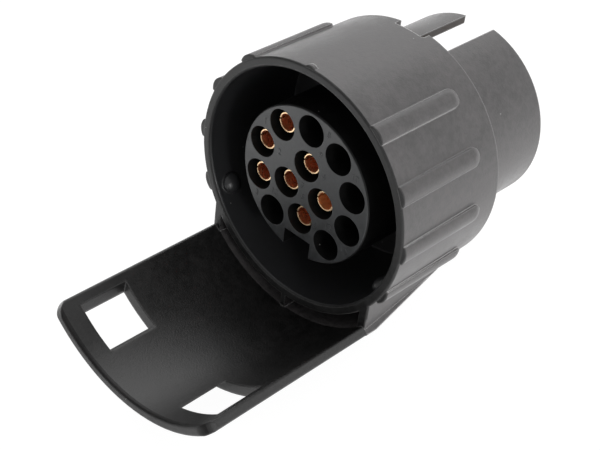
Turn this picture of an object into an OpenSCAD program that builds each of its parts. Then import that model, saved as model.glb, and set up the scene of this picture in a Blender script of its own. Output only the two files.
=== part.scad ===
// Adapter that turns a vehicle's seven-pole trailer socket into a thirteen-pole one.
// The plug axis runs along Y before the part is tipped into its resting pose: the
// thirteen-pole mouth faces -Y, the seven-pole plug sleeve faces +Y, the tongue is below.
// The origin is the centre of the rear shoulder, where the plug sleeve starts.
// Depths are counted from the mouth's rim towards the rear, in millimetres.

/* [Body] */
// Inner radius of the mouth at its rim
mouth_r = 24.5; // [24:0.1:26]
// Wall thickness of the mouth at its rim
mouth_wall = 1.95; // [1.6:0.05:2.6]
// Length of the grip body, rim to rear shoulder
body_l = 29.3; // [28:0.1:34]
// Outer radius at the rear shoulder, a little smaller than at the rim for draft
body_rear_r = 26.15; // [25.8:0.05:26.4]
// Depth of the mouth's ring-shaped channel
mouth_depth = 24; // [22.5:0.1:24.3]
// Inner radius of the mouth at the bottom of that channel
mouth_floor_r = 24.1; // [23.5:0.05:24.5]
// Chamfer inside the mouth's rim
rim_chamfer = 0.4; // [0.2:0.05:0.8]
// Rounding of the body's outer edges
body_edge = 0.35; // [0.2:0.05:0.6]

/* [Grip ribs] */
// Radius of a rib's rounded back
rib_r = 3.2; // [2.6:0.05:4]
// Width of a rib between its steep sides
rib_w = 3.9; // [3:0.1:4.4]
// Height of a rib's back above the body at the rim
rib_h = 0.95; // [0.6:0.05:1.3]
// Length of a rib from the rim to the middle of its round end
rib_l = 21.2; // [12:0.1:24]
// Angle between neighbouring ribs
rib_step = 26; // [20:0.5:27]

/* [Bayonet studs and index mark] */
// Radius of a locking stud inside the mouth
stud_r = 2.1; // [1.5:0.05:2.6]
// How far a stud stands out of the mouth's wall
stud_h = 1.8; // [1:0.1:2.5]
// Depth of the studs' centres
stud_depth = 3.8; // [3:0.1:8]
// Radius of the dome on a stud's end
stud_dome = 2.75; // [2.7:0.05:4]
// Bearing of the small index mark on top of the rim
index_at = 92; // [88:0.5:96]
// Width of the index mark, across its rounded back
index_w = 2.2; // [1.2:0.1:3]
// Length of the index mark
index_l = 1.3; // [0.8:0.1:2]
// Height of the index mark above the body
index_h = 0.5; // [0.3:0.1:0.6]

/* [Tongue] */
// Inner radius of the curved tongue
tongue_ri = 29.3; // [29:0.1:30]
// Thickness of the tongue
tongue_t = 2.1; // [1.6:0.05:2.6]
// Length of the tongue in front of the rim
tongue_l = 41.7; // [35:0.1:50]
// Half of the angle that the tongue spans
tongue_half = 45; // [40:0.5:50]
// Corner radius of the tongue's front, seen from above
tongue_corner = 3.4; // [1:0.1:5]
// Rounding of the tongue's long edges
tongue_edge = 0.5; // [0.2:0.05:0.8]
// Depth at which the tongue's underside starts to slope up to the shoulder
slope_start = 2.75; // [1:0.05:6]
// Outer radius where that slope reaches the rear shoulder
slope_end_r = 26.75; // [26.5:0.05:27.2]
// Distance of the upright side walls' outer faces from the middle plane, at the rim
wall_x = 21.35; // [20.9:0.05:21.8]
// How far a side wall comes in for each millimetre that it runs back
wall_taper = 0.075; // [0.06:0.005:0.09]
// Thickness of the two side walls between tongue and body
side_web = 1.9; // [1.2:0.1:2.4]
// Thickness of the middle web between tongue and body
mid_web = 1.3; // [1:0.1:2.4]

/* [Windows in the tongue] */
// Distance of the windows' inner edges from the middle plane, on the inside face
window_in = 10.2; // [9:0.1:12]
// Distance of the windows' outer edges from the middle plane
window_out = 19.2; // [17:0.1:19.5]
// Distance of the windows' front edges in front of the rim
window_front = 36.9; // [30:0.1:38]
// Length of the windows along the tongue
window_l = 11.3; // [6:0.1:14]
// Sideways run of the windows' sloping inner wall for each millimetre down
window_slope = 0.9; // [0:0.05:1]
// How far the windows' rear wall comes forward for each millimetre down
window_lean = 0.2; // [0:0.05:0.5]

/* [Plug sleeve] */
// Outer radius of the seven-pole plug sleeve
sleeve_r = 20.25; // [19.8:0.05:20.5]
// Inner radius of the sleeve
sleeve_bore = 18.5; // [18.2:0.05:18.8]
// Length of the sleeve behind the shoulder
sleeve_l = 22.6; // [20:0.05:26]
// Rounding of the sleeve's end
sleeve_edge = 0.5; // [0.2:0.05:0.8]
// Width of the sleeve's key slot
slot_w = 7.2; // [5:0.1:8]
// Depth of the key slot's notch in the shoulder
slot_notch = 2.2; // [1:0.1:2.6]
// Rounding of the slot's two corners at the sleeve's end
slot_flare = 0.7; // [0.3:0.05:1.2]
// Rounding of the notch's two corners in the shoulder
notch_corner = 0.6; // [0.2:0.05:1]
// Height of the snap bead that holds the pin carrier
bead_h = 0.45; // [0.3:0.05:0.7]
// Width of that snap bead
bead_w = 0.9; // [0.6:0.1:1.4]

/* [Thirteen-pole carrier] */
// Radius of the contact carrier
carrier_r = 16.5; // [16.2:0.05:16.6]
// Depth of the carrier's face behind the rim
face_depth = 1.9; // [1:0.1:4]
// Radius of the circle of outer contact holes
ring_r = 12.5; // [12.3:0.05:12.6]
// Radius of a contact hole
hole_r = 3.25; // [3:0.05:3.3]
// Depth of the contact holes, from the face
hole_depth = 12.6; // [11:0.1:12.8]
// Thickness of the carrier's front block
block_t = 14.1; // [13.5:0.1:15]
// Width of the key groove
key_w = 7; // [6:0.1:7.1]
// Distance of the key groove's floor from the axis
key_floor = 12.25; // [12.1:0.05:13]
// Radius of the carrier's flange
flange_r = 18.3; // [18:0.05:18.4]
// Thickness of the carrier's flange
flange_t = 2; // [1.2:0.1:2.5]
// Wall thickness of the carrier's hollow rear
skirt_t = 0.9; // [0.8:0.05:1]
// Thickness of the carrier behind the key groove
key_wall = 2; // [1:0.1:4]
// Bevel on the front edge of a carrier
carrier_edge = 0.3; // [0.1:0.05:0.6]

/* [Socket contacts] */
// Outer radius of a contact tube
tube_r = 2.15; // [2.05:0.05:2.3]
// Inner radius of a contact tube
tube_bore = 1.8; // [1.7:0.05:1.85]
// How far a tube's mouth lies behind the carrier's face
tube_recess = 1.45; // [0.8:0.05:2.5]
// Bevel outside a tube's mouth
tube_edge = 0.1; // [0.05:0.05:0.15]
// Depth of a tube's bore
tube_depth = 11; // [9:0.1:11.5]
// Width of the slits that make a tube springy
tube_slit = 0.35; // [0.2:0.05:0.5]
// Length of those slits
tube_slit_l = 7; // [4:0.1:9]
// Radius of a tube's collar behind the carrier block
collar_r = 2.9; // [2.6:0.05:3.3]
// Thickness of that collar
collar_t = 1; // [0.6:0.1:1.4]
// Outer radius of a solder cup
cup_r = 1.6; // [1.5:0.05:1.7]
// Inner radius of a solder cup
cup_bore = 1.1; // [1.05:0.05:1.2]
// Length of a contact's solder cup
cup_l = 2.5; // [2:0.1:3]

/* [Seven-pole plug] */
// Thickness of the pin carrier
plate_t = 4.5; // [3.5:0.1:5]
// Radius of the circle of the six outer pins
pin_ring_r = 10.2; // [10:0.05:10.4]
// Radius of a plug pin
pin_r = 2.5; // [2.3:0.05:2.6]
// Radius of a pin's shank, inside the pin carrier
pin_shank_r = 2.9; // [2.75:0.05:3.2]
// Length of a plug pin behind its carrier
pin_l = 14; // [12:0.1:15]
// Width of the slit across a pin's tip
pin_slit = 0.8; // [0.5:0.05:1]
// Length of that slit
pin_slit_l = 6; // [4:0.1:6.5]
// Radius of the collar in front of the pin carrier
pin_collar_r = 3.3; // [3:0.05:3.6]
// Length of a pin's solder cup
pin_cup_l = 2.3; // [2:0.1:2.6]
// Bevel round a pin's tip
pin_tip = 0.8; // [0.3:0.1:1.2]

/* [Wires and fits] */
// Radius of a wire's insulated part
wire_r = 1; // [0.8:0.05:1.05]
// Length of wire inside each solder cup
wire_in = 1.6; // [1:0.1:1.9]
// Straight length of wire outside each solder cup
wire_out = 0.9; // [0.8:0.1:1.2]
// Radial clearance of the carriers in the housing
carrier_gap = 0.2; // [0.1:0.05:0.3]
// Radial clearance of the metal contacts in their carriers
contact_gap = 0.02; // [0:0.01:0.05]

/* [Hidden] */
$fn = 72;
eps = 0.01;
// Steps of a rounded corner drawn as a profile
round_steps = 4;

mouth_y = -body_l;
rim_r = mouth_r + mouth_wall;
tongue_ro = tongue_ri + tongue_t;
// Slope of the underside behind the tongue, and the tilt at which the part lies on it
slope_run = body_l - slope_start;
slope = (tongue_ro - slope_end_r) / slope_run;
rest_tilt = atan(slope);
// Bearings of the ribs and studs, seen from the mouth: 0 is +X and 90 is up
rib_angles = [for (side = [0, 180]) for (k = [-1 : 2]) side == 0 ? k * rib_step : 180 - k * rib_step];
stud_angles = [90, 210, 330];
tongue_mid = -90;
// Half of the angle that the slope's two side walls lie within
wall_half = 58;
mid_half = atan(mid_web / 2 / tongue_ri);
// Where the hollow behind the rim runs out on the body, which tapers a little to the rear
draft = (rim_r - body_rear_r) / body_l;
pocket_end = (tongue_ri + slope * slope_start - rim_r) / (slope - draft);
pocket_end_r = rim_r - draft * pocket_end;
pocket_skin = 0.05;

// Carrier positions along the axis
face_y = mouth_y + face_depth;
block_y = face_y + block_t;
tube_y = face_y + tube_recess;
collar_end_y = block_y + collar_t;
cup_end_y = collar_end_y + cup_l;
flange_back_y = -1;
flange_y = flange_back_y - flange_t;
plate_y = flange_back_y;
plate_end_y = plate_y + plate_t;
pin_end_y = plate_end_y + pin_l;
pin_collar_y = plate_y - collar_t;
pin_cup_y = pin_collar_y - pin_cup_l;
bead_y = plate_end_y + carrier_gap;
carrier_bore = carrier_r + carrier_gap;
// The insulation bulges a little where a wire bends
bend_r = wire_r + 0.04;
skirt_r = carrier_r - skirt_t;
key_depth = block_t - key_wall;
// How far the housing's joined shapes reach into each other
weld = 1.5;
// How far a cutter reaches out of the surface that it cuts
reach = 1;
// Room left in a solder cup beyond the wire's end
cup_room = 0.3;
// Reach of the window cutters below and above the tongue's inside face
window_drop = 6;
window_rise = 9;
// Radius of the index mark's back, from its width and height
index_r = (index_w * index_w / 4 + index_h * index_h) / (2 * index_h);

// Distance of a side wall's outer face from the middle plane, at a depth behind the rim
function wall_at(depth) = wall_x - wall_taper * depth;

// Ten even places on the outer ring, clockwise from the top; the key takes the sixth
function place(k) = ring_r * [cos(90 - 36 * k), sin(90 - 36 * k)];
empty_at = [for (k = [0, 1, 2, 3, 4, 6]) place(k)];
// The four inner places form a narrow kite
inner_top = 4.5;
inner_side = 4.55;
inner_low = 1.75;
inner_foot = 8;
contact_at = [
    place(9),
    place(8),
    place(7),
    [0, inner_top],
    [inner_side, -inner_low],
    [0, -inner_foot],
    [-inner_side, -inner_low],
];
// Plug pins: six on the ring and the seventh in the middle
pin_angles = [120, 180, 240, 60, 0, 300];
pin_at = [for (i = [0 : 6]) i < 6
    ? [pin_ring_r * cos(pin_angles[i]), pin_ring_r * sin(pin_angles[i])]
    : [0, 0]];

black = [0.10, 0.10, 0.11];
slate = [0.17, 0.18, 0.19];
copper = [0.75, 0.42, 0.22];
brass = [0.78, 0.62, 0.30];
red = [0.55, 0.10, 0.08];

// The part is tipped about the origin so that the slope under the body lies level
module at_rest() {
    rotate([-rest_tilt, 0, 0])
        children();
}

// Revolves a profile of [radius, y] points about the plug axis
module turned(profile) {
    rotate([-90, 0, 0])
        rotate_extrude()
            polygon(profile);
}

// The same, over the bearings from a0 to a1
module turned_part(profile, a0, a1) {
    rotate([-90, 0, 0])
        rotate_extrude(angle = a1 - a0, start = -a1)
            polygon(profile);
}

// Round bar along the axis at place p, from y0 to y1
module bar(p, r, y0, y1, r2 = -1) {
    translate([p[0], y0, p[1]])
        rotate([-90, 0, 0])
            cylinder(h = y1 - y0, r1 = r, r2 = r2 < 0 ? r : r2);
}

// Turns its child, which points along +X, to a bearing about the axis
module bearing(a) {
    rotate([0, -a, 0])
        children();
}

// Quarter-round corner points, centred on c, from angle a0 to a1
function corner(c, r, a0, a1) =
    [for (k = [0 : round_steps]) let (a = a0 + (a1 - a0) * k / round_steps) c + r * [cos(a), sin(a)]];

module body_solid() {
    turned(concat(
        [[0, mouth_y]],
        corner([rim_r - body_edge, mouth_y + body_edge], body_edge, -90, 0),
        corner([body_rear_r - body_edge, -body_edge], body_edge, 0, 90),
        [[sleeve_r, 0]],
        corner([sleeve_r - sleeve_edge, sleeve_l - sleeve_edge], sleeve_edge, 0, 90),
        [[0, sleeve_l]]
    ));
}

module ribs() {
    for (a = rib_angles)
        bearing(a)
            rib();
}

// Rounded back between steep sides, full height at the rim, round end towards the shoulder
module rib() {
    c = rim_r + rib_h - rib_r;
    tall = weld + rib_h + reach;
    intersection() {
        union() {
            bar([c, 0], rib_r, mouth_y + body_edge / 2, mouth_y + rib_l);
            translate([c, mouth_y + rib_l, 0])
                sphere(r = rib_r);
        }
        union() {
            translate([rim_r - weld, mouth_y, -rib_w / 2])
                cube([tall, rib_l, rib_w]);
            translate([rim_r - weld, mouth_y + rib_l, 0])
                rotate([0, 90, 0])
                    cylinder(h = tall, r = rib_w / 2);
        }
    }
}

module index_mark() {
    bearing(index_at)
        bar([rim_r + index_h - index_r, 0], index_r, mouth_y + body_edge / 2, mouth_y + index_l);
}

module tongue_sheet() {
    turned_part(concat(
        corner([tongue_ro - tongue_edge, mouth_y - tongue_l + tongue_edge], tongue_edge, -90, 0),
        [[tongue_ro, mouth_y + eps], [tongue_ri, mouth_y + eps]],
        corner([tongue_ri + tongue_edge, mouth_y - tongue_l + tongue_edge], tongue_edge, 180, 270)
    ), tongue_mid - tongue_half, tongue_mid + tongue_half);
}

// Takes the sharp corner off the tongue's front, seen along a bearing
module front_corner_cut(side) {
    corner_angle = atan(tongue_corner / tongue_ro);
    bearing(tongue_mid + side * (tongue_half - corner_angle))
        translate([tongue_ri - reach, mouth_y - tongue_l + tongue_corner, 0])
            difference() {
                translate([0, -2 * tongue_corner, side > 0 ? 0 : -2 * tongue_corner])
                    cube([tongue_t + 2 * reach, 2 * tongue_corner, 2 * tongue_corner]);
                rotate([0, 90, 0])
                    cylinder(h = tongue_t + 2 * reach, r = tongue_corner);
            }
}

// Takes the sharp arris off one long edge, at radius r, over the tongue and the slope's start
module long_edge_cut(side, r, inward) {
    s = inward ? 1 : -1;
    bearing(tongue_mid + side * tongue_half)
        translate([r + s * tongue_edge, 0, -side * tongue_edge])
            difference() {
                translate([s > 0 ? -tongue_edge - reach : 0, mouth_y - tongue_l - reach,
                        side > 0 ? 0 : -tongue_edge - reach])
                    cube([tongue_edge + reach, tongue_l + reach - eps, tongue_edge + reach]);
                bar([0, 0], tongue_edge, mouth_y - tongue_l - 2 * reach, mouth_y + reach);
            }
}

// One side of the slope, from a face set in from the side wall's outer face outwards
module beyond_wall(side, inset, edge) {
    front = wall_at(0) - inset;
    outline = concat(
        edge > 0
            ? concat([[front - edge, mouth_y - reach]],
                corner([front - edge, mouth_y + edge], edge, -90, 0))
            : [[wall_at(-reach) - inset, mouth_y - reach]],
        [
            [wall_at(body_l + reach) - inset, reach],
            [tongue_ro + reach, reach],
            [tongue_ro + reach, mouth_y - reach],
        ]
    );
    translate([0, 0, -tongue_ro - reach])
        linear_extrude(tongue_ro + reach)
            polygon([for (p = outline) [side * p[0], p[1]]]);
}

// Solid wedge between the tongue and the body, up to the shoulder, with upright side faces
module slope_solid() {
    difference() {
        turned_part([
            [rim_r - weld, mouth_y],
            [tongue_ro, mouth_y],
            [tongue_ro, mouth_y + slope_start],
            [slope_end_r, 0],
            [rim_r - weld, 0],
        ], tongue_mid - wall_half, tongue_mid + wall_half);
        for (side = [-1, 1]) {
            a_edge = tongue_mid + side * tongue_half;
            a_far = tongue_mid + side * (wall_half + reach);
            intersection() {
                beyond_wall(side, 0, body_edge);
                turned_part([
                    [rim_r - 2 * weld, mouth_y - reach],
                    [tongue_ro + reach, mouth_y - reach],
                    [tongue_ro + reach, reach],
                    [rim_r - 2 * weld, reach],
                ], min(a_edge, a_far), max(a_edge, a_far));
            }
        }
    }
}

// The two hollows behind the rim, each between a side wall and the middle web
module slope_pockets() {
    for (side = [-1, 1]) {
        a_mid = tongue_mid + side * mid_half;
        a_far = tongue_mid + side * wall_half;
        difference() {
            turned_part([
                [rim_r - pocket_skin, mouth_y - reach],
                [tongue_ri, mouth_y - reach],
                [tongue_ri, mouth_y + slope_start],
                [pocket_end_r - pocket_skin, mouth_y + pocket_end],
            ], min(a_mid, a_far), max(a_mid, a_far));
            beyond_wall(side, side_web, 0);
        }
    }
}

// Window shape: upright outer wall, inner wall leaning to the middle, rear wall leaning forward
module window_cut(side) {
    z_top = -sqrt(tongue_ri * tongue_ri - window_in * window_in);
    front = mouth_y - window_front;
    rear = front + window_l;
    intersection() {
        translate([0, rear + window_l, 0])
            rotate([90, 0, 0])
                linear_extrude(3 * window_l)
                    polygon([
                        [side * window_in, z_top],
                        [side * window_in, z_top + window_rise],
                        [side * window_out, z_top + window_rise],
                        [side * window_out, z_top - window_drop],
                        [side * (window_in - window_slope * window_drop), z_top - window_drop],
                    ]);
        turned_part([
            [tongue_ri - reach, front],
            [tongue_ro + reach, front],
            [tongue_ro + reach, rear - window_lean * (tongue_t + reach)],
            [tongue_ri - reach, rear + window_lean * reach],
        ], tongue_mid - tongue_half, tongue_mid + tongue_half);
    }
}

module mouth_cut() {
    turned([
        [0, mouth_y - reach],
        [mouth_r + rim_chamfer + reach, mouth_y - reach],
        [mouth_r + rim_chamfer, mouth_y],
        [mouth_r, mouth_y + rim_chamfer],
        [mouth_floor_r, mouth_y + mouth_depth],
        [0, mouth_y + mouth_depth],
    ]);
}

// Domed studs that reach into the mouth's wall by the chamfer's depth
module studs() {
    for (a = stud_angles)
        bearing(a)
            translate([mouth_r - stud_h, mouth_y + stud_depth, 0])
                intersection() {
                    rotate([0, 90, 0])
                        cylinder(h = stud_h + rim_chamfer, r = stud_r);
                    translate([stud_dome, 0, 0])
                        sphere(r = stud_dome);
                }
}

// Key slot through the sleeve, and its notch in the shoulder, seen from above
module slot_cut() {
    half = concat(
        corner([slot_w / 2 - notch_corner, notch_corner - slot_notch], notch_corner, -90, 0),
        corner([slot_w / 2 + slot_flare, sleeve_l - slot_flare], slot_flare, 180, 90),
        [[slot_w / 2 + slot_flare, sleeve_l + reach]]
    );
    last = len(half) - 1;
    linear_extrude(rim_r + reach)
        polygon(concat(half, [for (k = [0 : last]) [-half[last - k][0], half[last - k][1]]]));
}

// Bores that the two carriers go into from the rear
module carrier_bores() {
    bar([0, 0], carrier_bore, mouth_y + mouth_depth - reach, flange_y + eps);
    bar([0, 0], sleeve_bore, flange_y, sleeve_l + reach);
}

module snap_bead() {
    difference() {
        turned([
            [sleeve_bore + eps, bead_y],
            [sleeve_bore - bead_h, bead_y],
            [sleeve_bore - bead_h, bead_y + bead_w / 3],
            [sleeve_bore + eps, bead_y + bead_w],
        ]);
        translate([-slot_w / 2, 0, 0])
            cube([slot_w, sleeve_l, rim_r]);
    }
}

module housing() {
    color(black)
        at_rest() {
            difference() {
                union() {
                    body_solid();
                    ribs();
                    index_mark();
                    slope_solid();
                }
                mouth_cut();
                carrier_bores();
                slot_cut();
                slope_pockets();
            }
            difference() {
                tongue_sheet();
                for (side = [-1, 1]) {
                    window_cut(side);
                    front_corner_cut(side);
                    long_edge_cut(side, tongue_ro, false);
                    long_edge_cut(side, tongue_ri, true);
                }
            }
            studs();
            snap_bead();
        }
}

module socket_carrier() {
    color(slate)
        at_rest()
            difference() {
                union() {
                    turned([
                        [0, face_y],
                        [carrier_r - carrier_edge, face_y],
                        [carrier_r, face_y + carrier_edge],
                        [carrier_r, flange_y],
                        [0, flange_y],
                    ]);
                    bar([0, 0], flange_r, flange_y, flange_back_y);
                }
                bar([0, 0], skirt_r, block_y, flange_back_y + reach);
                translate([-key_w / 2, face_y - reach, -carrier_r - reach])
                    cube([key_w, key_depth + reach, carrier_r + reach - key_floor]);
                for (p = concat(empty_at, contact_at))
                    bar(p, hole_r, face_y - reach, face_y + hole_depth);
                for (p = contact_at)
                    bar(p, tube_r + contact_gap, face_y, block_y + reach);
            }
}

// Springy tube with a collar and a solder cup behind the carrier block
module contact(i) {
    p = contact_at[i - 1];
    color(copper)
        at_rest()
            difference() {
                union() {
                    bar(p, tube_r - tube_edge, tube_y, tube_y + tube_edge, tube_r);
                    bar(p, tube_r, tube_y + tube_edge, block_y + eps);
                    bar(p, collar_r, block_y, collar_end_y);
                    bar(p, cup_r, collar_end_y - eps, cup_end_y);
                }
                bar(p, tube_bore, tube_y - reach, tube_y + tube_depth);
                bar(p, cup_bore, cup_end_y - wire_in - cup_room, cup_end_y + reach);
                translate([p[0] - tube_r - reach, tube_y - reach, p[1] - tube_slit / 2])
                    cube([2 * (tube_r + reach), tube_slit_l + reach, tube_slit]);
            }
}

module pin_carrier() {
    color(slate)
        at_rest()
            difference() {
                turned([
                    [0, plate_y],
                    [flange_r, plate_y],
                    [flange_r, plate_end_y - carrier_edge],
                    [flange_r - carrier_edge, plate_end_y],
                    [0, plate_end_y],
                ]);
                for (p = pin_at)
                    bar(p, pin_shank_r + contact_gap, plate_y - reach, plate_end_y + reach);
            }
}

// Solid pin with a slit tip, a collar and a solder cup in front of its carrier
module plug_pin(i) {
    p = pin_at[i - 1];
    color(brass)
        at_rest()
            difference() {
                union() {
                    bar(p, cup_r, pin_cup_y, pin_collar_y + eps);
                    bar(p, pin_collar_r, pin_collar_y, plate_y);
                    bar(p, pin_shank_r, plate_y - eps, plate_end_y);
                    bar(p, pin_r, plate_end_y - eps, pin_end_y - pin_tip);
                    bar(p, pin_r, pin_end_y - pin_tip, pin_end_y, pin_r - pin_tip);
                }
                bar(p, cup_bore, pin_cup_y - reach, pin_cup_y + wire_in + cup_room);
                translate([p[0] - pin_r - reach, pin_end_y - pin_slit_l, p[1] - pin_slit / 2])
                    cube([2 * (pin_r + reach), pin_slit_l + reach, pin_slit]);
            }
}

// Round length of wire between two points, with a ball at each end
module wire_leg(a, b) {
    d = b - a;
    l = norm(d);
    translate(a)
        rotate([0, acos(d[2] / l), atan2(d[1], d[0])])
            cylinder(h = l, r = wire_r);
}

// Wire of one circuit, from the contact's cup across to the pin's cup
module wire(i) {
    p = contact_at[i - 1];
    q = pin_at[i - 1];
    a = [p[0], cup_end_y + wire_out, p[1]];
    b = [q[0], pin_cup_y - wire_out, q[1]];
    color(red)
        at_rest() {
            bar(p, wire_r, cup_end_y - wire_in, a[1]);
            translate(a)
                sphere(r = bend_r);
            wire_leg(a, b);
            translate(b)
                sphere(r = bend_r);
            bar(q, wire_r, b[1], pin_cup_y + wire_in);
        }
}

housing();
socket_carrier();
contact(1);  // contact_1
contact(2);  // contact_2
contact(3);  // contact_3
contact(4);  // contact_4
contact(5);  // contact_5
contact(6);  // contact_6
contact(7);  // contact_7
pin_carrier();
plug_pin(1);  // pin_1
plug_pin(2);  // pin_2
plug_pin(3);  // pin_3
plug_pin(4);  // pin_4
plug_pin(5);  // pin_5
plug_pin(6);  // pin_6
plug_pin(7);  // pin_7
wire(1);  // wire_1
wire(2);  // wire_2
wire(3);  // wire_3
wire(4);  // wire_4
wire(5);  // wire_5
wire(6);  // wire_6
wire(7);  // wire_7
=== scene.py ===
import logging
import math
from dataclasses import dataclass, field, replace
from enum import Enum
from typing import Iterable, NamedTuple, Optional, Sequence, Union

import bmesh
import bpy
from mathutils import Euler, Matrix, Vector


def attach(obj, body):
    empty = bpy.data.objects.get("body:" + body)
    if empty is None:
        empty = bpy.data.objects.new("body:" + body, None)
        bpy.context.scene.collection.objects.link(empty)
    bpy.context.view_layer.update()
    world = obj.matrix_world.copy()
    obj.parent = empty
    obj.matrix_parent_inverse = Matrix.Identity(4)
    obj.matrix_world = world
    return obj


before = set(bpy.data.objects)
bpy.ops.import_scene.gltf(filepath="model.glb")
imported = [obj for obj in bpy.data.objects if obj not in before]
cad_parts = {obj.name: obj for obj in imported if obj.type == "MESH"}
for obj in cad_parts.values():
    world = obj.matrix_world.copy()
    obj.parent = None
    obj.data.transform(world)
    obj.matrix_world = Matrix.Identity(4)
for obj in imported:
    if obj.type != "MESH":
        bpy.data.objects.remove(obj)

log = logging.getLogger("adapter")

Colour = tuple[float, float, float]
Value = Union[float, int, bool, Colour, Vector, bpy.types.NodeSocket]
MM = 0.001
WHITE: Colour = (1.0, 1.0, 1.0)


def grey(level: float) -> Colour:
    """Neutral colour of one linear level."""
    return (level, level, level)


class Stretch(NamedTuple):
    """Stretch of a moulding along the plug axis, out to a radius. All are in millimetres."""

    front_mm: float
    rear_mm: float
    radius_mm: float


class Zone(Enum):
    """Stretches of the mouldings that are drawn with a skin of their own. The tongue, its tip, the rim and
    the carrier's walls behind the face get darker tones that are painted shade.
    """

    TONGUE = Stretch(-100.0, -29.2, 100.0)
    TONGUE_TIP = Stretch(-100.0, -70.1, 100.0)
    RIM = Stretch(-29.5, -28.9, 28.5)
    MOUTH = Stretch(-29.2, -5.0, 24.62)
    SLEEVE = Stretch(-5.0, 60.0, 20.0)
    BEHIND_FACE = Stretch(-27.3, 0.0, 100.0)


class Noise(Enum):
    """Kinds of noise: how many finer layers each one adds, and how strong those are."""

    PEBBLES = (2.0, 0.55)
    FINE_PEBBLES = (1.0, 0.5)
    SPECKLE = (3.0, 0.65)
    MOTTLE = (4.0, 0.7)
    STAIN = (3.0, 0.6)


@dataclass(frozen=True)
class RestPose:
    """How the plug axis lies: tipped about X so that the slope under the body is level."""

    tilt_deg: float = 9.9341
    floor_mm: float = -26.35

    @property
    def towards_rear(self) -> Vector:
        """Unit vector along the plug axis, from the mouth to the sleeve."""
        tilt = math.radians(self.tilt_deg)
        return Vector((0.0, math.cos(tilt), -math.sin(tilt)))

    def place(self, x: float, y: float, z: float) -> Vector:
        """Point of the untipped design, in millimetres, as a point of the scene.

        Args:
            x: sideways distance from the plug axis.
            y: distance behind the rear shoulder, along the plug axis.
            z: height above the plug axis, square to it.

        Returns:
            The same point in metres, as the part lies.
        """
        return Matrix.Rotation(-math.radians(self.tilt_deg), 3, "X") @ Vector((x, y, z)) * MM


POSE = RestPose()


class Graph:
    """Adds and joins the nodes of one shader tree."""

    def __init__(self, tree: bpy.types.NodeTree) -> None:
        """Start on an empty tree.

        Args:
            tree: the node tree of a material, a world or a node group.
        """
        self.tree = tree
        tree.nodes.clear()

    def add(
        self, kind: str, values: Optional[dict[Union[str, int], Value]] = None, **settings: object,
    ) -> bpy.types.Node:
        """Add a node.

        Args:
            kind: the node's type name, without the leading ShaderNode.
            values: what goes into its inputs, by name or number.
            settings: the node's own options.

        Returns:
            The new node.
        """
        node = self.tree.nodes.new(kind if kind.startswith("Node") else "ShaderNode" + kind)
        for name, option in settings.items():
            setattr(node, name, option)
        for key, value in (values or {}).items():
            self.feed(node.inputs[key], value)
        return node

    def feed(self, socket: bpy.types.NodeSocket, value: Value) -> None:
        """Join an output to an input, or set the input's own value.

        Args:
            socket: the input.
            value: an output of another node, or a number, colour or vector.
        """
        if isinstance(value, bpy.types.NodeSocket):
            self.tree.links.new(value, socket)
        elif socket.type == "RGBA":
            socket.default_value = (*value, 1.0)
        else:
            socket.default_value = value

    def spot(self) -> bpy.types.NodeSocket:
        """Place on the piece, in metres. Every piece's origin is the scene's."""
        return self.add("TexCoord").outputs["Object"]

    def math(self, operation: str, a: Value, b: Value = 0.0, c: Value = 0.0) -> bpy.types.NodeSocket:
        """Output of a Math node on up to three values."""
        return self.add("Math", {0: a, 1: b, 2: c}, operation=operation).outputs[0]

    def dot(self, a: Value, b: Value) -> bpy.types.NodeSocket:
        """Dot product of two vectors."""
        return self.add("VectorMath", {0: a, 1: b}, operation="DOT_PRODUCT").outputs["Value"]

    def ramp(
        self, value: Value, low: float, high: float, to_low: Value = 0.0, to_high: Value = 1.0,
    ) -> bpy.types.NodeSocket:
        """Output of a smooth, clamped Map Range node."""
        values = {"Value": value, "From Min": low, "From Max": high, "To Min": to_low, "To Max": to_high}
        return self.add("MapRange", values, interpolation_type="SMOOTHSTEP", clamp=True).outputs[0]

    def between(self, share: Value, a: Value, b: Value) -> bpy.types.NodeSocket:
        """Number between a and b."""
        return self.ramp(share, 0.0, 1.0, a, b)

    def blend(self, share: Value, a: Value, b: Value) -> bpy.types.NodeSocket:
        """Colour between a and b."""
        return self.add("Mix", {0: share, 6: a, 7: b}, data_type="RGBA").outputs[2]

    def noise(self, where: Value, scale: Value, kind: Noise) -> bpy.types.NodeSocket:
        """Value of a noise texture.

        Args:
            where: the place on the piece.
            scale: how many waves it has to a metre.
            kind: its detail and roughness.

        Returns:
            The texture's value.
        """
        detail, roughness = kind.value
        values = {"Vector": where, "Scale": scale, "Detail": detail, "Roughness": roughness}
        return self.add("TexNoise", values).outputs[0]

    def surface(
        self, look: dict[str, Value], height: Value, depth: float,
        normal: Optional[bpy.types.NodeSocket] = None,
    ) -> None:
        """End a material in a Principled BSDF over a bump.

        Args:
            look: the shader's inputs, apart from Normal.
            height: height of the bump.
            depth: what a height of 1 comes to, in metres.
            normal: a softened normal under the bump, where there is one.
        """
        relief = {"Strength": 1.0, "Distance": depth, "Height": height}
        if normal is not None:
            relief["Normal"] = normal
        bump = self.add("Bump", relief)
        shader = self.add("BsdfPrincipled", {**look, "Normal": bump.outputs[0]})
        self.add("OutputMaterial", {"Surface": shader.outputs[0]})


def new_group(
    name: str, inputs: dict[str, float], outputs: Sequence[tuple[str, str]],
) -> tuple[bpy.types.NodeTree, Graph]:
    """Make an empty shader node group with named sockets.

    Args:
        name: the group's name.
        inputs: its number inputs and their usual values.
        outputs: its outputs, each as (name, socket type).

    Returns:
        The group and a graph to fill it with.
    """
    tree = bpy.data.node_groups.new(name, "ShaderNodeTree")
    for label, usual in inputs.items():
        socket = tree.interface.new_socket(label, in_out="INPUT", socket_type="NodeSocketFloat")
        socket.default_value = usual
    for label, kind in outputs:
        tree.interface.new_socket(label, in_out="OUTPUT", socket_type=kind)
    return tree, Graph(tree)


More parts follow.
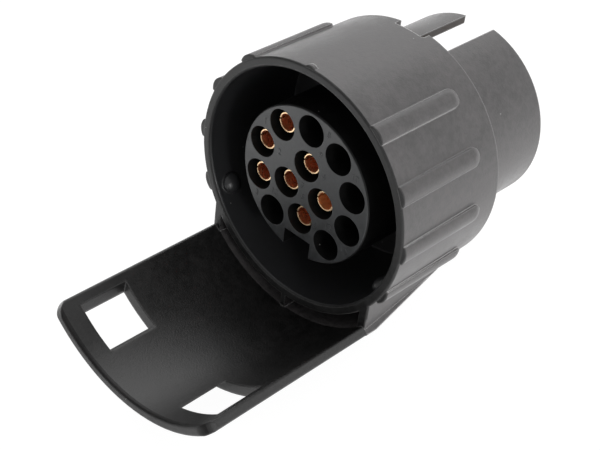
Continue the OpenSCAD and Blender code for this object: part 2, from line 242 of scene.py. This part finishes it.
def new_material(name: str) -> tuple[bpy.types.Material, Graph]:
    """Make a material with an empty node tree.

    Args:
        name: the material's name.

    Returns:
        The material and a graph to fill it with.
    """
    material = bpy.data.materials.new(name)
    material.use_nodes = True
    return material, Graph(material.node_tree)


def add_object(name: str, data: bpy.types.ID) -> bpy.types.Object:
    """Put a mesh, lamp or camera into the scene.

    Args:
        name: the object's name.
        data: what it shows.

    Returns:
        The object, at the origin.
    """
    piece = bpy.data.objects.new(name, data)
    bpy.context.scene.collection.objects.link(piece)
    return piece


@dataclass(frozen=True)
class SharedSettings:
    """Proportions inside the shared node groups.

    Attributes:
        fine_scale: how much finer the fine pebbles are than the others.
        fine_share: their share of the height.
        speckle_scale: scale of the speckle against the pebbles'.
        contrast: noise levels that the mottle and the speckle spread from 0 to 1.
        bevel_samples: rays that find each softened edge.
        turn: agreement of the two normals where the pale edge (rubbing and painted highlight) starts, and
            where it is full.
        drop: how far the softened normal turns downward where the pale edge is least, and where it is
            full; this bias to downward arrises is painted highlight.
        least_wear: pale edge on an arris that turns upward, as a share of the full one.
    """

    fine_scale: float = 2.7
    fine_share: float = 0.3
    speckle_scale: float = 0.28
    contrast: tuple[float, float] = (0.35, 0.65)
    bevel_samples: int = 6
    turn: tuple[float, float] = (0.97, 0.80)
    drop: tuple[float, float] = (-0.05, 0.2)
    least_wear: float = 0.3


class SharedEffects:
    """Node groups that several finishes use."""

    def __init__(self, settings: SharedSettings = SharedSettings()) -> None:
        """Build every group once.

        Args:
            settings: the proportions inside the groups.
        """
        self.settings = settings
        self.grain = self._grain()
        self.edges = self._edges()
        self.dust = self._dust()

    def _grain(self) -> bpy.types.NodeTree:
        """Spark-eroded mould grain: a fine pebble height, a slow mottle of the tone and a speckle.

        Returns:
            The group.
        """
        tree, graph = new_group(
            "Mould grain", {"Pebbles per metre": 2600.0, "Mottle per metre": 60.0},
            [("Height", "NodeSocketFloat"), ("Mottle", "NodeSocketFloat"), ("Speckle", "NodeSocketFloat")],
        )
        given = graph.add("NodeGroupInput").outputs
        where = graph.spot()
        pebbles_per_m = given["Pebbles per metre"]
        fine_per_m = graph.math("MULTIPLY", pebbles_per_m, self.settings.fine_scale)
        speckle_per_m = graph.math("MULTIPLY", pebbles_per_m, self.settings.speckle_scale)
        pebbles = graph.noise(where, pebbles_per_m, Noise.PEBBLES)
        finer = graph.noise(where, fine_per_m, Noise.FINE_PEBBLES)
        mottle = graph.noise(where, given["Mottle per metre"], Noise.MOTTLE)
        speckle = graph.noise(where, speckle_per_m, Noise.SPECKLE)
        graph.add("NodeGroupOutput", {
            "Height": graph.math(
                "ADD",
                graph.math("MULTIPLY", pebbles, 1.0 - self.settings.fine_share),
                graph.math("MULTIPLY", finer, self.settings.fine_share),
            ),
            "Mottle": graph.ramp(mottle, *self.settings.contrast),
            "Speckle": graph.ramp(speckle, *self.settings.contrast),
        })
        return tree

    def _edges(self) -> bpy.types.NodeTree:
        """Rounded arrises: a softened normal, and a mask of the places where it turns, mostly downward.
        The mask pales edges for rubbing and, by favouring arrises that turn downward, for a painted
        highlight.

        Returns:
            The group.
        """
        tree, graph = new_group(
            "Soft edges", {"Radius": 0.00025},
            [("Mask", "NodeSocketFloat"), ("Normal", "NodeSocketVector")],
        )
        radius = graph.add("NodeGroupInput").outputs["Radius"]
        rounded = graph.add("Bevel", {"Radius": radius}, samples=self.settings.bevel_samples).outputs[0]
        plain = graph.add("NewGeometry").outputs["Normal"]
        heights = [graph.add("SeparateXYZ", {0: normal}).outputs[2] for normal in (plain, rounded)]
        dropped = graph.math("SUBTRACT", *heights)
        # Painted highlight: arrises that turn downward, towards the white floor, get the full pale edge;
        # those that turn upward get only a share.
        downward = graph.ramp(dropped, *self.settings.drop, self.settings.least_wear, 1.0)
        turned = graph.ramp(graph.dot(rounded, plain), *self.settings.turn)
        graph.add("NodeGroupOutput", {"Mask": graph.math("MULTIPLY", turned, downward), "Normal": rounded})
        return tree

    @staticmethod
    def _dust() -> bpy.types.NodeTree:
        """Sparse pale specks, one in some of the cells of a fine grid.

        Returns:
            The group.
        """
        tree, graph = new_group(
            "Dust specks", {"Cells per metre": 420.0, "Speck size": 0.05, "Share": 0.25},
            [("Mask", "NodeSocketFloat")],
        )
        given = graph.add("NodeGroupInput").outputs
        values = {"Vector": graph.spot(), "Scale": given["Cells per metre"]}
        cells = graph.add("TexVoronoi", values, feature="F1").outputs
        draw = graph.add("SeparateColor", {0: cells["Color"]}).outputs[0]
        chosen = graph.math("LESS_THAN", draw, given["Share"])
        near = graph.math("LESS_THAN", cells["Distance"], given["Speck size"])
        graph.add("NodeGroupOutput", {"Mask": graph.math("MULTIPLY", chosen, near)})
        return tree


@dataclass(frozen=True)
class Skin:
    """Tone and texture of a stretch of the plastic: what one side of a mould leaves on it, and on the
    tongue, its tip, the rim and the carrier's walls behind the face a darker tone that is painted shade.
    Colours are linear.

    Attributes:
        tone: the darker tone.
        pale_tone: the paler tone.
        roughness: mean roughness.
        swing: how far the roughness goes up and down from it.
        relief: height of the grain, in grain depths.
        gloss: the shader's specular level.
        rub: how much of the pale edge shows, partly rubbing and partly painted highlight.
    """

    tone: Colour
    pale_tone: Colour
    roughness: float = 0.5
    swing: float = 0.06
    relief: float = 1.0
    gloss: float = 0.5
    rub: float = 1.0


@dataclass(frozen=True)
class MouldedPlastic:
    """Injection-moulded black or grey plastic with a spark-eroded grain. Lengths are in metres."""

    name: str
    skin: Skin
    # Pale tone of the edges: partly rubbing, partly a painted highlight.
    worn_tone: Colour
    # Zones drawn with other skins; on some of them the darker tone is painted shade.
    zone_skins: tuple[tuple[Zone, Skin], ...] = ()
    grain_per_m: float = 2600.0
    grain_depth: float = 0.00002
    mottle_per_m: float = 110.0
    mottle_share: float = 0.5
    edge_radius: float = 0.00025
    edge_wear: float = 0.5
    dust_share: float = 0.2
    dust_tone: Colour = (0.30, 0.30, 0.29)

    def build(self, shared: SharedEffects) -> bpy.types.Material:
        """Make the material.

        Args:
            shared: the node groups for grain, edges and dust.

        Returns:
            The finished material.
        """
        material, graph = new_material(self.name)
        density = {"Pebbles per metre": self.grain_per_m, "Mottle per metre": self.mottle_per_m}
        grain = graph.add("Group", density, node_tree=shared.grain).outputs
        edges = graph.add("Group", {"Radius": self.edge_radius}, node_tree=shared.edges).outputs
        dust = graph.add("Group", {"Share": self.dust_share}, node_tree=shared.dust).outputs

        mottle = graph.math("MULTIPLY", grain["Mottle"], self.mottle_share)
        share = graph.math("MULTIPLY_ADD", grain["Speckle"], 1.0 - self.mottle_share, mottle)
        tone, roughness = self._skin(graph, self.skin, share)
        relief: Value = self.skin.relief
        gloss: Value = self.skin.gloss
        rub: Value = self.skin.rub
        for zone, skin in self.zone_skins:
            mask = self._zone(graph, zone.value)
            other_tone, other_roughness = self._skin(graph, skin, share)
            tone = graph.blend(mask, tone, other_tone)
            roughness = graph.between(mask, roughness, other_roughness)
            relief = graph.between(mask, relief, skin.relief)
            gloss = graph.between(mask, gloss, skin.gloss)
            rub = graph.between(mask, rub, skin.rub)
        # Edges paled towards that tone: partly rubbing, partly a painted highlight that is strongest on
        # arrises that turn downward.
        wear_and_highlight = graph.math("MULTIPLY", graph.math("MULTIPLY", edges["Mask"], self.edge_wear), rub)
        worn_and_highlit = graph.blend(wear_and_highlight, tone, self.worn_tone)
        dusty = graph.blend(dust["Mask"], worn_and_highlit, self.dust_tone)
        look = {"Base Color": dusty, "Roughness": roughness, "Specular IOR Level": gloss}
        height = graph.math("MULTIPLY", grain["Height"], relief)
        graph.surface(look, height, self.grain_depth, edges["Normal"])
        return material

    @staticmethod
    def _skin(graph: Graph, skin: Skin, share: bpy.types.NodeSocket) -> tuple[Value, Value]:
        """Tone and roughness of one skin.

        Args:
            graph: the material's graph.
            skin: the skin to draw.
            share: mask between its darker and its paler tone.

        Returns:
            The tone's output and the roughness's output.
        """
        tone = graph.blend(share, skin.tone, skin.pale_tone)
        return tone, graph.between(share, skin.roughness - skin.swing, skin.roughness + skin.swing)

    @staticmethod
    def _zone(graph: Graph, stretch: Stretch) -> bpy.types.NodeSocket:
        """Mask of a zone, by distance along the plug axis and distance from it.

        Args:
            graph: the material's graph.
            stretch: the stretch to mark.

        Returns:
            1 in the zone and 0 elsewhere.
        """
        where = graph.spot()
        axis = POSE.towards_rear
        along = graph.dot(where, axis)
        across = graph.add("VectorMath", {0: where, 1: axis}, operation="CROSS_PRODUCT").outputs[0]
        radius = graph.add("VectorMath", {0: across}, operation="LENGTH").outputs["Value"]
        behind_front = graph.math("GREATER_THAN", along, stretch.front_mm * MM)
        before_rear = graph.math("LESS_THAN", along, stretch.rear_mm * MM)
        within = graph.math("LESS_THAN", radius, stretch.radius_mm * MM)
        return graph.math("MULTIPLY", graph.math("MULTIPLY", behind_front, before_rear), within)


@dataclass(frozen=True)
class TurnedMetal:
    """Bare copper alloy, turned on a lathe, paler at the end that mates: rubbed metal on the pins, and a
    painted highlight on the rims of the socket's contact tubes. Lengths are in metres.

    Attributes:
        name: the material's name.
        tone: untarnished metal.
        stain_tone: tarnished metal.
        bright_tone: pale metal at the mating end; on the pins it is rubbed metal, on the contact tubes a
            painted highlight of their rims.
        bright_from_mm: place along the plug axis where it is brightest.
        bright_to_mm: place where that ends.
        roughness: roughness of clean metal.
        metallic: the shader's metallic level.
        rings_per_m: turning marks along the axis.
        ring_detail: finer layers of the turning marks.
        ring_depth: their depth.
        stain_per_m: patches of tarnish to a metre.
        stain_levels: noise levels that spread from untarnished to tarnished.
        stain_share: how much of the tarnish's tone shows.
        stain_roughness: how much rougher tarnish is.
        edge_radius: radius of the softened edges.
    """

    name: str
    tone: Colour
    stain_tone: Colour
    bright_tone: Colour
    bright_from_mm: float
    bright_to_mm: float
    roughness: float = 0.38
    metallic: float = 1.0
    rings_per_m: float = 5200.0
    ring_detail: float = 3.0
    ring_depth: float = 0.000004
    stain_per_m: float = 700.0
    stain_levels: tuple[float, float] = (0.35, 0.75)
    stain_share: float = 0.6
    stain_roughness: float = 0.16
    edge_radius: float = 0.00008

    def build(self, shared: SharedEffects) -> bpy.types.Material:
        """Make the material.

        Args:
            shared: the node groups; the soft edges are used here.

        Returns:
            The finished material.
        """
        material, graph = new_material(self.name)
        where = graph.spot()
        along = graph.dot(where, POSE.towards_rear)
        # The mating end is drawn paler: rubbed metal on the pins, a painted highlight on the contact
        # tubes' rims.
        bright = graph.ramp(along, self.bright_to_mm * MM, self.bright_from_mm * MM)
        stain = graph.ramp(graph.noise(where, self.stain_per_m, Noise.STAIN), *self.stain_levels)
        tone = graph.blend(graph.math("MULTIPLY", stain, self.stain_share), self.tone, self.stain_tone)
        turns = graph.math("MULTIPLY", along, self.rings_per_m)
        values = {"W": turns, "Scale": 1.0, "Detail": self.ring_detail}
        rings = graph.add("TexNoise", values, noise_dimensions="1D").outputs[0]
        edges = graph.add("Group", {"Radius": self.edge_radius}, node_tree=shared.edges).outputs
        look = {
            "Base Color": graph.blend(bright, tone, self.bright_tone),
            "Metallic": self.metallic,
            "Roughness": graph.between(stain, self.roughness, self.roughness + self.stain_roughness),
        }
        graph.surface(look, rings, self.ring_depth, edges["Normal"])
        return material


@dataclass(frozen=True)
class CableInsulation:
    """Smooth extruded insulation with a faint mottle. Lengths are in metres."""

    name: str
    tone: Colour
    shade_tone: Colour
    roughness: float = 0.38
    grain_per_m: float = 1800.0
    grain_depth: float = 0.00001

    def build(self, shared: SharedEffects) -> bpy.types.Material:
        """Make the material.

        Args:
            shared: the node groups; the mould grain gives the mottle and the relief.

        Returns:
            The finished material.
        """
        material, graph = new_material(self.name)
        grain = graph.add("Group", {"Pebbles per metre": self.grain_per_m}, node_tree=shared.grain).outputs
        tone = graph.blend(grain["Mottle"], self.tone, self.shade_tone)
        graph.surface({"Base Color": tone, "Roughness": self.roughness}, grain["Height"], self.grain_depth)
        return material


def dress(node: str, finish: bpy.types.Material) -> None:
    """Give a carried-over CAD node its finish.

    Args:
        node: the node's name.
        finish: the material for all of its faces.
    """
    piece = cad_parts[node]
    for slot in piece.material_slots:
        slot.material = finish
    log.info("dressed %s in %s", node, finish.name)


@dataclass
class Housing:
    """The one-piece black moulding: grip body, tongue and plug sleeve."""

    finish: MouldedPlastic = MouldedPlastic(
        name="black_moulding",
        skin=Skin(
            tone=(0.0335, 0.0312, 0.0318), pale_tone=(0.0705, 0.0655, 0.0665),
            roughness=0.44, swing=0.05, relief=3.0,
        ),
        # Pale edges: partly rubbing, partly a painted highlight along the ribs and the shoulder.
        worn_tone=(0.60, 0.59, 0.585),
        edge_wear=0.9,
        edge_radius=0.0006,
        zone_skins=(
            # Painted shade: the tongue is drawn far darker than the body, for the shade the body casts on
            # it.
            (Zone.TONGUE, Skin(
                tone=grey(0.004), pale_tone=(0.012, 0.0115, 0.0115),
                roughness=0.38, swing=0.02, relief=3.0, gloss=0.42, rub=0.2,
            )),
            # Painted shade: the tongue's front end is drawn darker still.
            (Zone.TONGUE_TIP, Skin(
                tone=grey(0.003), pale_tone=(0.010, 0.009, 0.009),
                roughness=0.42, relief=2.0, gloss=0.22, rub=0.2,
            )),
            # Painted shade: the rim's front face is drawn darker than the body, for the shade on it.
            (Zone.RIM, Skin(tone=grey(0.008), pale_tone=grey(0.024), gloss=0.3, rub=0.25)),
            (Zone.MOUTH, Skin(
                tone=(0.019, 0.019, 0.020), pale_tone=(0.022, 0.0225, 0.024),
                roughness=0.34, swing=0.0, relief=0.0, rub=0.05,
            )),
            (Zone.SLEEVE, Skin(
                tone=(0.020, 0.014, 0.011), pale_tone=(0.026, 0.018, 0.014), relief=0.2, gloss=0.25,
            )),
        ),
    )

    def build(self, shared: SharedEffects) -> None:
        """Dress the moulding."""
        dress("housing", self.finish.build(shared))


CONTACT_METAL = TurnedMetal(
    name="copper_contact",
    tone=(1.0, 0.50, 0.26),
    stain_tone=(0.70, 0.20, 0.08),
    # Painted highlight: the tubes' mouths are drawn paler for the light their rims catch.
    bright_tone=(0.95, 0.70, 0.42),
    bright_from_mm=-25.98,
    bright_to_mm=-25.8,
    roughness=0.26,
    metallic=0.86,
)


@dataclass
class SocketFace:
    """Thirteen-pole face: its carrier, its pole numbers and the contact tubes behind seven of its holes.

    Attributes:
        contacts: how many holes have a contact tube.
        clean_contact: the tube drawn with a brighter copy of the copper, painted light for the one tube
            that shows brighter than the others.
        carrier: finish of the carrier and the numbers.
        metal: finish of the tubes.
        clean_metal: that brighter copy of the copper, which is painted light.
        face_mm: place of the face along the plug axis.
        numeral_height_mm: height of a figure.
        numeral_rise_mm: how far a figure stands out of the face.
        numeral_steps: segments in each stroke of a figure's curves.
        figure_share: height of a figure as a share of the font's size.
        numerals: each number with its place across and up the face, in millimetres.
    """

    contacts: int = 7
    clean_contact: int = 5
    carrier: MouldedPlastic = MouldedPlastic(
        name="grey_carrier",
        skin=Skin(tone=(0.019, 0.020, 0.021), pale_tone=(0.040, 0.042, 0.044), roughness=0.48),
        worn_tone=(0.14, 0.14, 0.145),
        # Painted shade: the carrier's walls behind the face, inside the holes, are drawn near black for
        # the shade in them.
        zone_skins=((Zone.BEHIND_FACE, Skin(tone=grey(0.003), pale_tone=grey(0.005), gloss=0.2)),),
        grain_per_m=3200.0,
        grain_depth=0.000015,
        mottle_per_m=220.0,
        edge_radius=0.00015,
        dust_share=0.1,
    )
    metal: TurnedMetal = CONTACT_METAL
    # Painted light: a brighter, less metallic copy of the copper for one tube, so that it shows lit more
    # than the rest.
    clean_metal: TurnedMetal = replace(
        CONTACT_METAL,
        name="brighter_lit_copper_contact",
        tone=(1.0, 0.54, 0.24),
        stain_tone=(0.95, 0.40, 0.15),
        roughness=0.28,
        metallic=0.7,
    )
    face_mm: float = -27.4
    numeral_height_mm: float = 1.35
    numeral_rise_mm: float = 0.06
    numeral_steps: int = 3
    figure_share: float = 0.7
    numerals: tuple[tuple[int, float, float], ...] = (
        (1, -11.7, 8.7), (2, -7.3, 3.9), (3, -11.9, -8.4), (4, 4.5, 4.5), (5, 0.1, -2.8),
        (6, 4.0, -7.2), (7, -0.4, -0.3), (8, 4.3, 13.9), (9, 3.0, 8.7), (10, 11.9, 8.4),
        (11, 11.9, -8.4), (12, 7.3, -5.6), (13, -7.3, -5.6),
    )

    def build(self, shared: SharedEffects) -> None:
        """Dress the carrier and its contacts, and add the pole numbers.

        Args:
            shared: the node groups that the finishes use.
        """
        carrier = self.carrier.build(shared)
        dress("socket_carrier", carrier)
        metal = self.metal.build(shared)
        brighter_lit = self.clean_metal.build(shared)
        for number in range(1, self.contacts + 1):
            dress(f"contact_{number}", brighter_lit if number == self.clean_contact else metal)
        self._pole_numbers(carrier)

    def _pole_numbers(self, finish: bpy.types.Material) -> None:
        """Raise a plain number beside each hole of the face.

        Args:
            finish: the material of the carrier.
        """
        front = -POSE.towards_rear
        across = Vector((1.0, 0.0, 0.0))
        turned = Matrix((across, front.cross(across), front)).transposed().to_4x4()
        shape = bmesh.new()
        for number, x, z in self.numerals:
            letters = bpy.data.curves.new(f"numeral_{number}", "FONT")
            letters.body = str(number)
            letters.size = self.numeral_height_mm * MM / self.figure_share
            letters.extrude = self.numeral_rise_mm * MM
            letters.resolution_u = self.numeral_steps
            letters.align_x = "CENTER"
            letters.align_y = "CENTER"
            holder = bpy.data.objects.new(letters.name, letters)
            flat = bpy.data.meshes.new_from_object(holder)
            flat.transform(Matrix.Translation(POSE.place(x, self.face_mm, z)) @ turned)
            shape.from_mesh(flat)
            bpy.data.objects.remove(holder)
            bpy.data.meshes.remove(flat)
        mesh = bpy.data.meshes.new("pole_numbers")
        shape.to_mesh(mesh)
        shape.free()
        mesh.materials.append(finish)
        piece = add_object("pole_numbers", mesh)
        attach(piece, "root")
        log.info("raised %d pole numbers, %d faces", len(self.numerals), len(mesh.polygons))


@dataclass
class PlugEnd:
    """Seven-pole end: the disc inside the sleeve and its pins."""

    pins: int = 7
    carrier: MouldedPlastic = MouldedPlastic(
        name="grey_pin_carrier",
        skin=Skin(tone=(0.040, 0.041, 0.043), pale_tone=(0.054, 0.055, 0.058)),
        worn_tone=grey(0.13),
        grain_per_m=3000.0,
        grain_depth=0.000015,
        mottle_per_m=160.0,
        edge_radius=0.0002,
        dust_share=0.1,
    )
    metal: TurnedMetal = TurnedMetal(
        name="brass_pin",
        tone=(0.80, 0.62, 0.32),
        stain_tone=(0.56, 0.40, 0.18),
        bright_tone=(0.95, 0.82, 0.55),
        bright_from_mm=17.6,
        bright_to_mm=16.2,
        rings_per_m=3600.0,
        edge_radius=0.00012,
    )

    def build(self, shared: SharedEffects) -> None:
        """Dress the disc and its pins.

        Args:
            shared: the node groups that the finishes use.
        """
        dress("pin_carrier", self.carrier.build(shared))
        metal = self.metal.build(shared)
        for number in range(1, self.pins + 1):
            dress(f"pin_{number}", metal)


@dataclass
class Wiring:
    """Insulated wires between the two carriers, closed in by the housing."""

    wires: int = 7
    finish: CableInsulation = CableInsulation(
        name="red_insulation", tone=(0.42, 0.05, 0.04), shade_tone=(0.30, 0.035, 0.03),
    )

    def build(self, shared: SharedEffects) -> None:
        """Dress the wires.

        Args:
            shared: the node groups that the finish uses.
        """
        finish = self.finish.build(shared)
        for number in range(1, self.wires + 1):
            dress(f"wire_{number}", finish)


@dataclass(frozen=True)
class Softbox:
    """A flat rectangular lamp. Its power follows from its size, in metres, and its brightness."""

    name: str
    place: tuple[float, float, float]
    width: float
    height: float
    brightness: float
    aim: tuple[float, float, float] = (0.0, -0.02, 0.0)

    def build(self) -> None:
        """Hang the lamp and turn it to the part."""
        lamp = bpy.data.lights.new(self.name, "AREA")
        lamp.shape = "RECTANGLE"
        lamp.size = self.width
        lamp.size_y = self.height
        lamp.energy = math.pi * self.width * self.height * self.brightness
        piece = add_object(self.name, lamp)
        piece.location = self.place
        away = Vector(self.place) - Vector(self.aim)
        piece.rotation_euler = away.to_track_quat("Z", "Y").to_euler()


@dataclass
class Studio:
    """White ground, soft lamps and the camera.

    Attributes:
        floor_size: side of the square ground, in metres.
        floor_tone: the ground's colour for light that it passes on.
        ground_glow: glow of the ground as the camera sees it.
        ground_share: how much of the light and shadow on it the camera sees besides.
        mirror_glow: glow of the ground in reflections.
        room_high: brightness of the room towards +X, +Y and +Z.
        room_low: brightness of the room towards -X, -Y and -Z.
        lens_mm: focal length of the camera.
        sensor_mm: width of its sensor.
        near_clip: nearest distance that it shows, in metres.
        camera_place: where it stands, in metres.
        camera_turn_deg: its turn about X, Y and Z.
        lamps: the lamps.
    """

    floor_size: float = 6.0
    floor_tone: float = 0.9
    ground_glow: float = 0.94
    ground_share: float = 0.14
    mirror_glow: float = 1.06
    room_high: tuple[float, float, float] = (0.0, 0.62, 0.56)
    room_low: tuple[float, float, float] = (0.0, 0.25, 0.0)
    lens_mm: float = 82.1005
    sensor_mm: float = 36.0
    near_clip: float = 0.01
    camera_place: tuple[float, float, float] = (0.1374359, -0.1654858, 0.182835)
    camera_turn_deg: tuple[float, float, float] = (45.959281, 0.748058, 44.318798)
    lamps: tuple[Softbox, ...] = field(default_factory=lambda: (
        Softbox("rear_left", (-0.45, 0.55, 0.75), 0.9, 0.9, 2.0),
        Softbox("left", (-0.72, 0.80, 0.33), 0.4, 0.35, 1.1),
        Softbox("rear", (0.0, 0.95, 0.35), 0.8, 0.6, 1.0),
        Softbox("rear_right", (0.65, 0.65, 0.40), 0.7, 0.7, 1.1),
        Softbox("right", (0.90, 0.10, 0.30), 0.8, 0.5, 1.2),
        Softbox("front_right", (0.70, -0.45, 0.25), 0.5, 0.4, 0.6),
        Softbox("spark", (0.90, -0.30, 0.25), 0.12, 0.12, 34.0),
    ))

    def build(self) -> None:
        """Set up the ground, the light and the camera."""
        self._ground()
        self._sky()
        for lamp in self.lamps:
            lamp.build()
        self._camera()
        bpy.context.scene.view_settings.view_transform = "Standard"
        log.info("studio has %d lamps", len(self.lamps))

    def _ground(self) -> None:
        """White ground under the part, which keeps its soft shadow."""
        half = self.floor_size / 2
        level = POSE.floor_mm * MM
        mesh = bpy.data.meshes.new("ground")
        corners = [(-half, -half, level), (half, -half, level), (half, half, level), (-half, half, level)]
        mesh.from_pydata(corners, [], [(0, 1, 2, 3)])
        material, graph = new_material("white_ground")
        path = graph.add("LightPath").outputs
        lit = graph.add("BsdfDiffuse", {"Color": grey(self.floor_tone)}).outputs[0]
        faint = graph.add("BsdfDiffuse", {"Color": grey(self.ground_share)}).outputs[0]
        white = graph.add("Emission", {"Color": WHITE, "Strength": self.ground_glow}).outputs[0]
        mirrored = graph.add("Emission", {"Color": WHITE, "Strength": self.mirror_glow}).outputs[0]
        to_camera = graph.add("AddShader", {0: faint, 1: white}).outputs[0]
        to_gloss = graph.add("AddShader", {0: lit, 1: mirrored}).outputs[0]
        others = graph.add("MixShader", {0: path["Is Glossy Ray"], 1: lit, 2: to_gloss}).outputs[0]
        mixed = graph.add("MixShader", {0: path["Is Camera Ray"], 1: others, 2: to_camera}).outputs[0]
        graph.add("OutputMaterial", {"Surface": mixed})
        mesh.materials.append(material)
        add_object("ground", mesh)

    def _sky(self) -> None:
        """The room round the ground. Each side has its own brightness, and the camera sees it white."""
        world = bpy.data.worlds.new("surroundings")
        world.use_nodes = True
        graph = Graph(world.node_tree)
        towards = graph.add("TexCoord").outputs["Generated"]
        high, low = (
            graph.add("VectorMath", {0: towards, 1: (0.0, 0.0, 0.0)}, operation=part).outputs[0]
            for part in ("MAXIMUM", "MINIMUM")
        )
        glow = graph.math("SUBTRACT", graph.dot(high, self.room_high), graph.dot(low, self.room_low))
        room = graph.add("Background", {"Color": WHITE, "Strength": glow}).outputs[0]
        white = graph.add("Background", {"Color": WHITE, "Strength": 1.0}).outputs[0]
        seen = graph.add("LightPath").outputs["Is Camera Ray"]
        mixed = graph.add("MixShader", {0: seen, 1: room, 2: white}).outputs[0]
        graph.add("OutputWorld", {"Surface": mixed})
        bpy.context.scene.world = world

    def _camera(self) -> None:
        """Camera at the photograph's place."""
        camera = bpy.data.cameras.new("camera")
        camera.lens = self.lens_mm
        camera.sensor_width = self.sensor_mm
        camera.clip_start = self.near_clip
        piece = add_object("camera", camera)
        piece.location = self.camera_place
        piece.rotation_euler = Euler([math.radians(a) for a in self.camera_turn_deg], "XYZ")
        bpy.context.scene.camera = piece


def main() -> None:
    """Dress the adapter and light it."""
    logging.basicConfig(level=logging.INFO, format="%(name)s: %(message)s")
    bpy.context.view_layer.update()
    shared = SharedEffects()
    for assembly in (Housing(), SocketFace(), PlugEnd(), Wiring()):
        assembly.build(shared)
    Studio().build()


if __name__ == "__main__":
    main()
